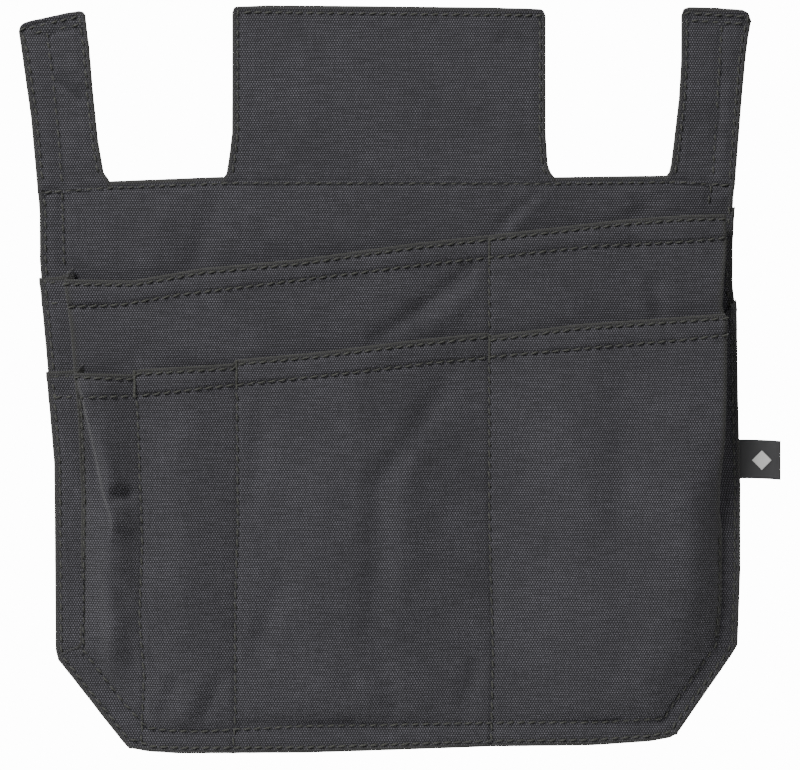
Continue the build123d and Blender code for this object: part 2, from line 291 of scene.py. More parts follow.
def net(columns, rows):
    """x and z of a net whose lines follow the columns, functions of z, and the rows, functions of x."""
    def places(curves, spans):
        parts = [k + stations(abs(span))[:-1] for k, span in enumerate(spans)]
        return np.concatenate(parts + [[len(curves) - 1.0]])

    def mixed(curves, t, at):
        table = np.stack([c(at) for c in curves])
        i = np.clip(t.astype(int), 0, len(curves) - 2)
        low = np.take_along_axis(table, i[None], 0)[0]
        high = np.take_along_axis(table, i[None] + 1, 0)[0]
        return low + (high - low) * (t - i)

    x_mid = (columns[0](-100.0) + columns[-1](-100.0)) / 2
    z_mid = (rows[0](x_mid) + rows[-1](x_mid)) / 2
    u = places(columns, [b(z_mid) - a(z_mid) for a, b in zip(columns, columns[1:])])
    v = places(rows, [b(x_mid) - a(x_mid) for a, b in zip(rows, rows[1:])])
    u, v = np.meshgrid(u, v)
    x, z = np.full(u.shape, x_mid), np.full(u.shape, z_mid)
    for _ in range(25):
        x = 0.4 * x + 0.6 * mixed(columns, u, z)
        z = 0.4 * z + 0.6 * mixed(rows, v, x)
    return x, z


def grid_normals(points):
    """The direction that a grid of points faces, at each point."""
    down, across = np.gradient(points, axis=0), np.gradient(points, axis=1)
    normal = np.cross(down, across)
    return normal / np.maximum(np.linalg.norm(normal, axis=2, keepdims=True), 1e-9)


def rim_of(rows, cols):
    """The grid's outer points in order."""
    return ([(0, c) for c in range(cols)] + [(r, cols - 1) for r in range(1, rows)]
            + [(rows - 1, c) for c in range(cols - 2, -1, -1)] + [(r, 0) for r in range(rows - 2, 0, -1)])


def solid_sheet(name, points, thick, material, flat=None, worn_and_shaded=None, flip=False):
    """A closed sheet: points is a grid of its outer face, and it is thick inwards, with a rounded rim.
    flat is where each point lies on the cloth, and worn how far its colour goes to the edge colour there,
    partly rubbing and partly painted edge shade, if it has that colour. The rim goes all the way."""
    rows, cols = points.shape[:2]
    normal = grid_normals(points) * (-1 if flip else 1)
    inner = points - normal * thick
    rim = rim_of(rows, cols)
    index = np.array([r * cols + c for r, c in rim])
    inward = (points[np.clip([r for r, _ in rim], 1, rows - 2), np.clip([c for _, c in rim], 1, cols - 2)]
              - points.reshape(-1, 3)[index])
    n_rim = normal.reshape(-1, 3)[index]
    inward -= (inward * n_rim).sum(1, keepdims=True) * n_rim
    inward /= np.maximum(np.linalg.norm(inward, axis=1, keepdims=True), 1e-9)
    middle = points.reshape(-1, 3)[index] - n_rim * thick / 2 - inward * thick * RIM_BULGE
    vertices = np.concatenate([points.reshape(-1, 3), inner.reshape(-1, 3), middle])
    count = rows * cols
    a = (np.arange(rows - 1)[:, None] * cols + np.arange(cols - 1)).reshape(-1)
    front = np.stack([a, a + cols, a + cols + 1, a + 1], 1)
    back = front[:, ::-1] + count
    nxt = np.roll(index, -1)
    m, m_next = 2 * count + np.arange(len(index)), 2 * count + np.roll(np.arange(len(index)), -1)
    side_a = np.stack([index, nxt, m_next, m], 1)
    side_b = np.stack([m, m_next, nxt + count, index + count], 1)
    faces = np.concatenate([front, back, side_a, side_b])
    if flip:
        faces = faces[:, ::-1]
    if flat is None:
        flat = points[:, :, [0, 2]]
    flat = flat.reshape(-1, 2)
    uv = np.concatenate([flat, flat, flat[index]])
    wear_and_shade = None
    if worn_and_shaded is not None:
        # Rims take the full edge colour: rubbing, and painted shade on the rounded rim.
        wear_and_shade = np.concatenate([worn_and_shaded.reshape(-1), worn_and_shaded.reshape(-1), np.ones(len(index))])
    return mesh_piece(name, vertices, faces, material, uv, wear_and_shade)


def add_object(name, data):
    thing = bpy.data.objects.new(name, data)
    bpy.context.collection.objects.link(thing)
    return thing


def mesh_piece(name, vertices, faces, material, uv, wear_and_shade=None):
    """A smooth mesh of points in millimetres, with its places on the cloth."""
    mesh = bpy.data.meshes.new(name)
    mesh.from_pydata((np.asarray(vertices) * MM).tolist(), [], np.asarray(faces).tolist())
    corner = np.empty(len(mesh.loops), np.int32)
    mesh.loops.foreach_get("vertex_index", corner)
    layer = mesh.uv_layers.new(name="cloth")
    layer.data.foreach_set("uv", uv[corner].astype(np.float32).reshape(-1))
    if wear_and_shade is not None:
        mesh.attributes.new("wear_and_shade", "FLOAT", "POINT").data.foreach_set("value", wear_and_shade.astype(np.float32))
    mesh.polygons.foreach_set("use_smooth", [True] * len(mesh.polygons))
    mesh.update()
    mesh.materials.append(material)
    return add_object(name, mesh)


def sheet_over(name, x, z, height, material, edge_lines, rear=False):
    """A cloth whose outer face has the height that the function height gives, and whose colour at the edge
    lines goes to the edge colour, partly rubbing and partly painted shade of its rolled edges. With rear, it
    faces the wearer."""
    h = height(x, z)
    points = np.stack([x, h if rear else -h, z], 2)
    # The edge colour's mask: rubbing along the edges, and painted shade of their rolled-off rims.
    worn_and_shaded = np.exp(-(from_edges(x, z, edge_lines) / 1.3) ** 2)
    return solid_sheet(name, points, CLOTH, material, worn_and_shaded=worn_and_shaded, flip=rear)


# ---- thread ----
def walk(line, step):
    """Places every step along a line of straight stretches, with the direction at each."""
    line = np.array(line, float)
    lengths = np.hypot(*np.diff(line, axis=0).T)
    along = np.concatenate([[0], np.cumsum(lengths)])
    count = max(1, int(along[-1] / step))
    at = (np.arange(count) + 0.5) * along[-1] / count
    spot, ahead, behind = (np.stack([np.interp(at + by, along, line[:, k]) for k in (0, 1)], 1)
                           for by in (0, 0.4, -0.4))
    way = ahead - behind
    return spot, way / np.maximum(np.linalg.norm(way, axis=1, keepdims=True), 1e-9)


def tube_faces(rings, sides):
    """The faces between rings of points."""
    return np.array([[i * sides + k, i * sides + (k + 1) % sides, (i + 1) * sides + (k + 1) % sides,
                      (i + 1) * sides + k] for i in range(rings - 1) for k in range(sides)])


def stitch_shape(length, radius, rise):
    """One stitch: rings along a low arch, each (along, across, up)."""
    rings, sides = 7, 6
    t = np.linspace(-1, 1, rings)
    thick = radius * (1 - 0.55 * np.abs(t) ** 3)
    up = rise * (1 - t ** 2) - 0.30 * radius * 2 * np.abs(t) ** 4
    angle = np.arange(sides) * 2 * math.pi / sides
    points = np.array([[t[i] * length / 2, thick[i] * math.cos(a), up[i] + thick[i] * math.sin(a)]
                       for i in range(rings) for a in angle])
    return points, tube_faces(rings, sides)


def stitches(name, rows, height, rear=False, pitch=STITCH, seed=1):
    """Rows of stitches on a surface. The needle holes lie in the cloth, and the thread arches over it."""
    shape, shape_faces = stitch_shape(pitch * 0.78, THREAD_R, STITCH_RISE)
    random = np.random.default_rng(seed)
    vertices, faces, along_uv = [], [], []
    total = 0
    near = 0.3
    side = 1 if rear else -1
    for row in rows:
        spots, ways = walk(row, pitch)
        for (x, z), (dx, dz) in zip(spots, ways):
            slope_x = (height(x + near, z) - height(x - near, z)) / (2 * near)
            slope_z = (height(x, z + near) - height(x, z - near)) / (2 * near)
            normal = np.array([-slope_x, side, -slope_z])
            normal /= np.linalg.norm(normal)
            turn = STITCH_SLANT + random.normal(0, 0.035)
            dx, dz = dx * math.cos(turn) - dz * math.sin(turn), dx * math.sin(turn) + dz * math.cos(turn)
            tangent = np.array([dx, side * (slope_x * dx + slope_z * dz), dz])
            tangent /= np.linalg.norm(tangent)
            across = np.cross(normal, tangent)
            level = (height(x - dz, z + dx) + height(x, z) + height(x + dz, z - dx)) / 3
            centre = np.array([x, side * level, z])
            local = shape * [1 + random.normal(0, 0.03), 1, 1]
            vertices.append(centre + local[:, :1] * tangent + local[:, 1:2] * across + local[:, 2:] * normal)
            faces.append(shape_faces + total)
            along_uv.append(np.stack([local[:, 0] + 4 * random.random(), local[:, 1]], 1))
            total += len(shape)
    return mesh_piece(name, np.concatenate(vertices), np.concatenate(faces), SEAM_THREAD,
                      np.concatenate(along_uv))


def inset(line, by):
    """A line of straight stretches moved sideways, to the left of its direction when by is positive."""
    line = np.array(line, float)
    way = np.gradient(line, axis=0)
    way /= np.linalg.norm(way, axis=1, keepdims=True)
    return [tuple(p) for p in line + by * np.stack([-way[:, 1], way[:, 0]], 1)]


def part_of(line, low, high):
    """The stretch of a line of (z, x) points between two z, as (x, z) points."""
    at, value = zip(*sorted(line))
    kept = [low] + [a for a in at if low < a < high] + [high]
    return list(zip(np.interp(kept, at, value), kept))


# ---- materials ----
class Nodes:
    """A short way to write a node tree."""

    def __init__(self, name):
        self.material = bpy.data.materials.new(name)
        self.material.use_nodes = True
        self.tree = self.material.node_tree
        self.shader = self.tree.nodes["Principled BSDF"]

    def add(self, kind, inputs=(), **settings):
        node = self.tree.nodes.new(kind)
        for key, value in settings.items():
            setattr(node, key, value)
        for key, value in dict(inputs).items():
            self.feed(node.inputs[key], value)
        return node

    def feed(self, socket, value):
        if isinstance(value, bpy.types.NodeSocket):
            self.tree.links.new(value, socket)
        else:
            socket.default_value = value

    def math(self, operation, a, b=0.0, c=0.0):
        node = self.add("ShaderNodeMath", operation=operation)
        for socket, value in zip(node.inputs, (a, b, c)):
            self.feed(socket, value)
        return node.outputs[0]

    def mix(self, share, a, b):
        node = self.add("ShaderNodeMix", data_type="RGBA")
        for socket, value in ((node.inputs[0], share), (node.inputs[6], a), (node.inputs[7], b)):
            self.feed(socket, value)
        return node.outputs[2]

    def cloth_place(self):
        """Where a point lies on the cloth in millimetres, and the two sides of that."""
        place = self.add("ShaderNodeUVMap", uv_map="cloth").outputs[0]
        split = self.add("ShaderNodeSeparateXYZ", {"Vector": place})
        return place, split.outputs[0], split.outputs[1]

    def wave(self, operation, value, period):
        return self.math(operation, self.math("MULTIPLY", value, 2 * math.pi / period))

    def surface(self, colour, roughness):
        self.feed(self.shader.inputs["Base Color"], colour)
        self.feed(self.shader.inputs["Roughness"], roughness)

    def noise(self, place, scale, detail=3.0, rough=0.55):
        inputs = {"Vector": place, "Scale": scale, "Detail": detail, "Roughness": rough}
        return self.add("ShaderNodeTexNoise", inputs).outputs[0]

    def stretched(self, place, x, y):
        return self.add("ShaderNodeMapping", {"Vector": place, "Scale": (x, y, 1.0)}).outputs[0]

    def ramp(self, value, low, high, to_low=0.0, to_high=1.0):
        inputs = {"Value": value, "From Min": low, "From Max": high, "To Min": to_low, "To Max": to_high}
        return self.add("ShaderNodeMapRange", inputs, clamp=True).outputs[0]

    def bump(self, *layers):
        """Bumps one on another, each (height, strength, distance in metres)."""
        normal = None
        for height, strength, away in layers:
            node = self.add("ShaderNodeBump", {"Height": height, "Strength": strength, "Distance": away})
            if normal is not None:
                self.feed(node.inputs["Normal"], normal)
            normal = node.outputs[0]
        self.feed(self.shader.inputs["Normal"], normal)


def opaque(colour, share=1.0):
    return tuple(c * share for c in colour) + (1.0,)


def canvas(name, ground, light, worn_and_shaded):
    """Plain-weave canvas: staggered threads, uneven yarn, paler weft crowns, and olive, flattened edges,
    darkened partly by rubbing and partly by painted shade.
    """
    n = Nodes(name)
    cloth, u, v = n.cloth_place()
    drift = n.noise(n.stretched(cloth, 0.05, 0.05), 1.0, 2.0)
    across = n.wave("COSINE", n.math("ADD", u, n.math("MULTIPLY", drift, 1.2)), CANVAS_PERIOD[0])
    along = n.wave("COSINE", n.math("ADD", v, n.math("MULTIPLY", drift, 0.8)), CANVAS_PERIOD[1])
    shifted = n.math("MULTIPLY", across, n.math("SIGN", along))
    row = n.math("POWER", n.math("ABSOLUTE", along), 1.3)
    weave = n.math("MULTIPLY", n.ramp(shifted, -0.75, 0.85), row)
    crowns = n.ramp(weave, 0.08, 0.85)
    weft = n.noise(n.stretched(cloth, 0.12, 1.16), 1.0, 3.0)
    warp = n.noise(n.stretched(cloth, 1.04, 0.10), 1.0, 2.0)
    fibre = n.noise(n.stretched(cloth, 3.0, 5.0), 1.0, 2.0)
    cloud = n.noise(n.stretched(cloth, 0.025, 0.04), 1.0, 3.0)
    yarn = n.math("MULTIPLY", n.ramp(weft, 0.3, 0.7, 0.55, 1.25), n.ramp(warp, 0.3, 0.7, 0.8, 1.15))
    share = n.math("MULTIPLY", crowns, n.math("MULTIPLY", yarn, n.ramp(fibre, 0.3, 0.7, 0.7, 1.15)))
    woven = n.mix(share, opaque(ground), opaque(light))
    toned = n.mix(n.ramp(cloud, 0.35, 0.65, 0.0, 0.22), woven, opaque(ground, 0.78))
    # Edges go to the third colour: olive rubbing, and painted shade of rolled edges and rims.
    wear_and_shade = n.add("ShaderNodeAttribute", attribute_name="wear_and_shade").outputs["Fac"]
    rubbed_and_shaded = n.math("MULTIPLY", wear_and_shade, n.ramp(fibre, 0.25, 0.7, 0.45, 0.95))
    n.surface(n.mix(rubbed_and_shaded, toned, opaque(worn_and_shaded)), n.ramp(crowns, 0, 1, 0.92, 0.72))
    n.shader.inputs["Specular IOR Level"].default_value = 0.25
    n.shader.inputs["Sheen Weight"].default_value = 0.12
    n.shader.inputs["Sheen Roughness"].default_value = 0.5
    n.bump((weave, 0.7, 0.0003), (fibre, 0.25, 0.0001), (weft, 0.3, 0.00025))
    return n.material


def thread(name, colour):
    """Twisted thread: slanting plies along each stitch."""
    n = Nodes(name)
    cloth, u, v = n.cloth_place()
    twist = n.math("SINE", n.math("ADD", n.math("MULTIPLY", u, 8.0), n.math("MULTIPLY", v, 9.0)))
    fuzz = n.noise(n.stretched(cloth, 5.0, 7.0), 1.0, 2.0)
    shade = n.math("ADD", n.ramp(twist, -1, 1, 0, 0.6), n.math("MULTIPLY", fuzz, 0.5))
    n.surface(n.mix(shade, opaque(colour, 0.55), opaque(colour)), n.ramp(fuzz, 0.3, 0.7, 0.55, 0.8))
    n.shader.inputs["Sheen Weight"].default_value = 0.1
    n.bump((twist, 0.5, 0.00012), (fuzz, 0.3, 0.00008))
    return n.material


def pile(name, colour, scale, depth):
    """The face of a hook or loop tape: short pile on a ribbed ground."""
    n = Nodes(name)
    place, _, v = n.cloth_place()
    tufts = n.noise(n.stretched(place, scale, scale), 1.0, 3.0, 0.7)
    rows = n.math("SINE", n.math("MULTIPLY", v, 4.2))
    patches = n.noise(n.stretched(place, 0.15, 0.15), 1.0, 2.0)
    shade = n.math("ADD", n.ramp(tufts, 0.3, 0.7, 0, 0.7), n.ramp(patches, 0.3, 0.7, 0, 0.3))
    n.surface(n.mix(shade, opaque(colour, 0.45), opaque(colour)), n.ramp(tufts, 0.3, 0.7, 0.75, 0.95))
    n.shader.inputs["Sheen Weight"].default_value = 0.25
    n.bump((tufts, 0.8, depth), (rows, 0.2, depth / 2))
    return n.material


def ribbon_weave(name, colour, shine):
    """Fine satin ribbon, with ribs across its width."""
    n = Nodes(name)
    place, u, v = n.cloth_place()
    weave = n.math("MULTIPLY", n.wave("SINE", v, 0.42), n.wave("SINE", u, 0.35))
    flecks = n.noise(n.stretched(place, 2.0, 4.0), 1.0, 2.0)
    shade = n.math("ADD", n.ramp(weave, -1, 1, 0, 0.6), n.math("MULTIPLY", flecks, 0.5))
    n.surface(n.mix(shade, opaque(colour, 0.6), opaque(colour)), n.ramp(flecks, 0.3, 0.7, shine, shine + 0.2))
    n.bump((weave, 0.5, 0.00012))
    return n.material


# The third colour of each cloth is its edge colour: olive rubbing, with painted edge shade.
CANVAS = canvas("charcoal_canvas", (0.016, 0.0155, 0.0175), (0.140, 0.136, 0.158), (0.036, 0.036, 0.031))
LINING = canvas("charcoal_lining", (0.013, 0.013, 0.015), (0.115, 0.112, 0.128), (0.032, 0.032, 0.028))
SEAM_THREAD = thread("seam_thread", (0.052, 0.053, 0.044))
HOOK_FACE = pile("hook_tape_black", (0.030, 0.030, 0.032), 1.6, 0.0003)
LOOP_FACE = pile("loop_tape_black", (0.045, 0.045, 0.048), 1.1, 0.0006)
LABEL_CLOTH = ribbon_weave("label_ribbon_black", (0.044, 0.044, 0.046), 0.5)
LABEL_WHITE = ribbon_weave("label_thread_white", (0.80, 0.80, 0.78), 0.55)


# ---- heights of each layer ----
BODY_OUTLINE = upright(BODY_LEFT) + BODY_BOTTOM[1:] + upright(BODY_RIGHT)[::-1]
BODY_EDGE_ROW = inset(upright(BODY_LEFT)[1:-1], EDGE_INSET) + inset(BODY_BOTTOM[1:-1], EDGE_INSET) + \
    inset(upright(BODY_RIGHT)[::-1][1:-1], EDGE_INSET)
HEM_ROWS = [upright(LEFT_TAB_HEM)[3:], upright(RIGHT_TAB_HEM)[1:]]
top_row = curve(TOP_ROW)
TOP_TURN = 2.2                         # how far the panel's upper edge stands above its stitches
CLOSING_ROWS = [LEFT_CHAMFER_SEAM, BOTTOM_SEAM, RIGHT_CHAMFER_SEAM]
OPEN_TOPS = [[(x, float(top_row(x)) + TOP_TURN) for x in span] for span in ((-109, -66), (59, 100))]


def below_top(x, z):
    """0 at the panel's upper row of stitches, and 1 well below it."""
    return ease((top_row(x) + 1.0 - z) / 12)


def body_folds(x, z):
    """Both cloths of the panel take these folds, so a valley in front is a ridge behind."""
    return PANEL_FOLDS * below_top(x, z) * folds(x, z, BODY_FOLDS)


def side_hems(x, z):
    """The panel and tabs are thicker outside the inner row of stitches, where their sides are turned in."""
    left = 1 - ease((x - np.interp(z, *zip(*sorted(LEFT_TAB_HEM))) + 0.9) / 0.7)
    right = 1 - ease((np.interp(z, *zip(*sorted(RIGHT_TAB_HEM))) + 0.9 - x) / 0.7)
    return 0.35 * (left + right * ease((z + 9) / 3))


def body_height(x, z):
    d = from_edges(x, z, [BODY_OUTLINE])
    rolled = -0.4 * np.exp(-(from_edges(x, z, OPEN_TOPS) / 0.6) ** 2)
    loose = below_top(x, z) * ripple(x, z, 3, 0.7)
    return (PANEL_TOP + turned(d) + rolled + side_hems(x, z) + body_folds(x, z) + loose
            + sewn(x, z, [BODY_EDGE_ROW, TOP_ROW] + HEM_ROWS, 1))


def panel_back_height(x, z):
    return (CLOTH - body_folds(x, z) + 0.35 * ripple(x, z, 9) * ease((top_row(x) - z) / 10)
            + turned(from_edges(x, z, [BODY_OUTLINE])) + sewn(x, z, BACK_ROWS, 4))


def closing(x, z, reach):
    """0 where a pocket is sewn shut at its bottom and cut-off corners, and 1 from reach above there."""
    d = from_edges(x, z, CLOSING_ROWS)
    corner = np.where(x < -60, curve(LEFT_CHAMFER_SEAM)(x), curve(RIGHT_CHAMFER_SEAM)(x))
    shut = np.maximum(corner, curve(BOTTOM_SEAM)(x))
    return np.where(z > shut, np.sin(np.clip(d / reach, 0, 1) * math.pi / 2) ** 0.9, 0)


left_fold, right_fold = curve(LEFT_FOLD), curve(RIGHT_FOLD)
pleat_line = curve(PLEAT)
left_open = soft_curve([(0, 1), (-78, 1), (-122, 0), (-230, 0)])       # how far the side walls stand up
right_open = soft_curve([(0, 1), (-88, 1), (-134, 0), (-230, 0)])


def sides(x, z, reach):
    """1 in the middle of a pocket, falling near the sides where their walls have closed."""
    left = left_open(z) + (1 - left_open(z)) * ease((x - left_fold(z)) / reach)
    rise = np.sin(np.clip((right_fold(z) - x) / reach, 0, 1) * math.pi / 2)
    right = right_open(z) + (1 - right_open(z)) * rise
    return left * right


rear_depth = soft_curve([(-126, 4.6), (-98, 4.0), (-61, 3.6), (-15, 2.8), (34.3, 0.5), (80, 3.2), (124, 6.6)])
front_depth = soft_curve([(-122, 3.2), (-110, 4.6), (-97.5, 0.3), (-79, 2.6), (-60.5, 0.3), (-14, 4.2),
                          (34.6, 0.3), (78, 4.6), (124, 6.2)])

REAR_ROWS = [inset(REAR_HEM, -1.6), REAR_HEM_SEAM]
FRONT_ROWS = [inset(FRONT_HEM, -1.6), FRONT_HEM_SEAM]
DIVIDERS = [upright(PEN_SEAM), upright(POUCH_SEAM), upright(MAIN_SEAM)]
LOWER_EDGE_ROW = [p for p in BODY_EDGE_ROW if p[1] < -174]
SIDE_ROWS = [[(x + 1.0, z) for x, z in part_of(LEFT_FOLD, -172.5, -80)],
             [(x - 1.3, z) for x, z in part_of(RIGHT_FOLD, -169.5, -131)]]
BACK_ROWS = [BODY_EDGE_ROW, TOP_ROW, upright(MAIN_SEAM), inset(upright(LEFT_FOLD), 1.5)] + CLOSING_ROWS
rear_hem, front_hem = curve(REAR_HEM), curve(FRONT_HEM)


def rear_smooth(x, z):
    return REAR_FLANGE + rear_depth(x) * closing(x, z, 26) * sides(x, z, 16)


def rear_height(x, z):
    under = ease((front_hem(x) - z) / 6)
    loose = (1 - under) * (folds(x, z, REAR_FOLDS) + ripple(x, z, 5, 0.8))
    loose = loose * (1 - np.exp(-((x - MAIN_SEAM_X) / 5) ** 2))
    return (rear_smooth(x, z) + loose + turned(rear_hem(x) - z, 8.8)
            + sewn(x, z, REAR_ROWS + [upright(MAIN_SEAM)], 2))


def pleat(x, z):
    """How far the pleat's edge stands up: sharp at its left, and easing off to its right."""
    s = x - pleat_line(z)
    strength = ease((-68 - z) / 12) * ease((z + 136) / 16)
    edge = np.exp(-(s / np.where(s > 0, 7.0, 0.8)) ** 2)
    trough = np.where(s < 0, np.exp(-(s / 4.5) ** 2) * (1 - edge), 0)
    return strength * (1.9 * edge - 1.4 * trough)


def front_height(x, z):
    shut = closing(x, z, 15) * sides(x, z, 13)
    held = 1 - 0.75 * np.exp(-(from_edges(x, z, DIVIDERS) / 4) ** 2)
    loose = folds(x, z, FRONT_FOLDS) + folds(x, z, PEN_FOLDS) + ripple(x, z, 11, 1.0)
    fade = ease(from_edges(x, z, CLOSING_ROWS) / 7) * held
    lap = ((1 - left_open(z)) * (1 - ease((x - left_fold(z) - 3) / 5))
           + (1 - right_open(z)) * (1 - ease((right_fold(z) - x - 3) / 5))) * ease((z + 178) / 6)
    belly = np.exp(-((z + 140) / 38) ** 2)
    deep = (front_depth(x) * (0.85 + 0.35 * belly) + belly * held) * shut
    body = rear_smooth(x, z) + CLOTH + 0.2 + 0.95 * lap + deep + loose * fade + pleat(x, z)
    from_sides = np.minimum(x - left_fold(z), right_fold(z) - x)
    rolled = -0.45 * np.exp(-(from_sides / 0.7) ** 2) * ease((z + 174) / 4)
    hem = turned(front_hem(x) - z, 8.6)
    outer = turned(from_edges(x, z, [BODY_OUTLINE])) * (z < -170)
    return body + hem + outer + rolled + sewn(x, z, FRONT_ROWS + DIVIDERS + CLOSING_ROWS + SIDE_ROWS
                                              + [LOWER_EDGE_ROW], 3)


# ---- the sheets ----
def over(line, by):
    """A curve through points, moved by a distance."""
    f = curve(line)
    return lambda t: f(t) + by


def stepped_top(x):
    """The panel's upper edge: at its row of stitches under the flap and tabs, and just above it elsewhere."""
    row = top_row(x)
    open_left = ease(x + 110.4) * ease(-64.4 - x)
    open_right = ease(x - 57.2) * ease(101.6 - x)
    return row + TOP_TURN * (open_left + open_right)


def body_sheets():
    columns = [curve(BODY_LEFT), curve([(3, -109.9), (-211, -95)]), curve([(3, -64.9), (-211, -67.2)]),
               curve([(3, 57.7), (-211, 60.2)]), curve([(3, 101.1), (-211, 94)]), curve(BODY_RIGHT)]
    x, z = net(columns, [stepped_top, over(TOP_ROW, -3), curve(BODY_BOTTOM)])
    front = sheet_over("body_front_cloth", x, z, body_height, CANVAS, [BODY_OUTLINE] + OPEN_TOPS)
    rear = sheet_over("body_rear_cloth", x, z, panel_back_height, LINING, [BODY_OUTLINE], rear=True)
    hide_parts("front_panel")
    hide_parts("rear_panel")
    return front, rear


def pocket_face(name, node, columns, rows, height, edges):
    x, z = net(columns, rows)
    face = sheet_over(name, x, z, height, CANVAS, edges)
    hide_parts(node)
    return face


def rear_pocket_face():
    def left(z):
        return np.maximum(left_fold(z), curve(BODY_LEFT)(z) + 9)

    def right(z):
        return np.minimum(right_fold(z), curve(BODY_RIGHT)(z) - 2.4 - 4 * ease((-165 - z) / 10))
    return pocket_face("rear_pocket_cloth", "rear_pocket_panel", [left, curve(MAIN_SEAM), right],
                       [curve(REAR_HEM), curve(REAR_HEM_SEAM), curve([(-130, -203), (130, -200)])],
                       rear_height, [REAR_HEM, upright(LEFT_FOLD), upright(RIGHT_FOLD)])


def front_pocket_face():
    flare_top, flare_end = -172.0, -176.5

    def side(fold, edge):
        return lambda z: fold(z) + (edge(z) - fold(z)) * ease((flare_top - z) / (flare_top - flare_end))
    left, right = side(left_fold, curve(BODY_LEFT)), side(right_fold, curve(BODY_RIGHT))

    def pleat_edge(z):
        return np.maximum(pleat_line(z), left(z) + 1.2)

    def pen(z):
        return np.maximum(curve(PEN_SEAM)(z), left(z) + 12)
    return pocket_face("front_pocket_cloth", "front_pocket_panel",
                       [left, pleat_edge, pen, curve(POUCH_SEAM), curve(MAIN_SEAM), right],
                       [curve(FRONT_HEM), curve(FRONT_HEM_SEAM), curve(BODY_BOTTOM)], front_height,
                       [FRONT_HEM, BODY_OUTLINE, upright(LEFT_FOLD), upright(RIGHT_FOLD)])


SIDES = {"left": (1, left_fold, curve(BODY_LEFT), left_open),
         "right": (-1, right_fold, curve(BODY_RIGHT), right_open)}


def gusset(layer, which, base, face, top, peak, out, drop=0.0):
    """A side wall: a flat sewn edge, then a fold inwards, then up to the edge of the pocket's face. peak is
    how far the fold's top stands up, out steps the edge out, and drop is how much lower the wall ends than
    the sewn edge. It returns the piece, its rows of stitches, their height and the wall's flat size."""
    side, fold, edge, openness = SIDES[which]
    z = top - stations(top - WALL_FOOT) * (top - WALL_FOOT)
    outer, inner = edge(z) - side * out * np.exp((z - top) / 30), fold(z)
    high = face(inner + side * 0.6, z) - CLOTH - 0.15
    stand = np.maximum(high - base, 0.12)
    bow = 2.8 * openness(z) + 0.4
    sections = [(outer, base), (inner - side * 2.4, base), (inner - side * 0.6, base + 0.06 * stand),
                (inner + side * 0.5 * bow, base + 0.2 * stand), (inner + side * bow, base + 0.5 * stand),
                (inner + side * 0.5 * bow, base + 0.82 * stand), (inner + side * 0.7, base + stand)]
    x_way = np.stack([np.broadcast_to(s[0], z.shape) for s in sections])
    h_way = np.stack([np.broadcast_to(s[1], z.shape) for s in sections])
    t_way = np.array([0, 1, 1.5, 2, 2.6, 3.2, 4.0])
    t = np.concatenate([np.linspace(0, 1, 9)[:-1], np.linspace(1, 4, 25)])
    x, h = (np.stack([np.interp(t, t_way, way[:, k]) for k in range(len(z))]) for way in (x_way, h_way))
    for _ in range(3):
        for way in (x, h):
            way[:, 9:-1] = (way[:, 8:-2] + 2 * way[:, 9:-1] + way[:, 10:]) / 4
    rise = peak * np.exp(-((t - 2.6) / 0.9) ** 2)[None, :] * np.exp((z - top) / 6)[:, None]
    rise = rise - drop * np.clip(t / 1.6, 0, 1)[None, :] * np.exp((z - top) / 14)[:, None]
    flat_part = ease(1.2 - t)[None, :]
    row = inset(list(zip(outer, z)), side * EDGE_INSET)
    hems = [[(float(edge(v)) + 0.8, v), (float(fold(v)) - 1.2, v + 0.2)]
            for v in (top - 1.9, top - 9.6) if side > 0]
    grid_z = z[:, None] + rise
    h = h + flat_part * (sewn(x, grid_z, [row] + hems, 5) + 0.3 * ripple(x, grid_z, 21)
                         + turned(np.abs(x - outer[:, None])) + turned(np.maximum(top - grid_z, 0), 4))
    points = np.stack([x, -h, grid_z], 2)
    if side < 0:
        points = points[:, ::-1]
    steps = np.linalg.norm(np.diff(points, axis=1), axis=2)
    length = np.concatenate([np.zeros((len(z), 1)), np.cumsum(steps, axis=1)], 1)
    flat = np.stack([length + points[0, 0, 0], points[:, :, 2]], 2)
    # The edge colour's mask at the sewn edge and the top: rubbing, and painted edge shade.
    worn_and_shaded = (np.exp(-(np.abs(points[:, :, 0] - outer[:, None]) / 1.3) ** 2)
            + np.exp(-((top - points[:, :, 2]) / 1.3) ** 2))
    piece = solid_sheet(f"{layer}_{which}_gusset_cloth", points, CLOTH * 0.9, CANVAS, flat=flat,
                        worn_and_shaded=np.clip(worn_and_shaded, 0, 1))
    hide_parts(f"{layer}_pocket_{which}_gusset")
    size = (float(length[:, -1].mean()), top - WALL_FOOT)

    def flange_height(px, pz):
        return base + sewn(px, pz, [row] + hems, 5) + turned(np.abs(px - np.interp(pz, z[::-1], outer[::-1])))
    return piece, [row] + hems, flange_height, size


# ---- flap and tabs ----
def rounded_top(left, right, top, radius):
    """The upper edge with its corners rounded off, as a function of x."""
    top = curve(top)

    def read(x):
        x_left, x_right = curve(left)(60.0), curve(right)(60.0)
        near = np.clip(np.minimum(x - x_left, x_right - x), 0, radius)
        return top(x) - (radius - np.sqrt(np.maximum(radius ** 2 - (radius - near) ** 2, 0)))
    return read


def flap_row(left, right, top, low_left, low_right):
    """The topstitching round a flap: up one side, across and down the other."""
    up = inset([p for p in upright(left)[::-1] if p[1] > low_left], -EDGE_INSET)
    down = inset([p for p in upright(right) if p[1] > low_right], -EDGE_INSET)
    z_left, z_right = curve(top)(up[-1][0]) - EDGE_INSET, curve(top)(down[0][0]) - EDGE_INSET
    up[-1], down[0] = (up[-1][0], z_left), (down[0][0], z_right)
    return up + down


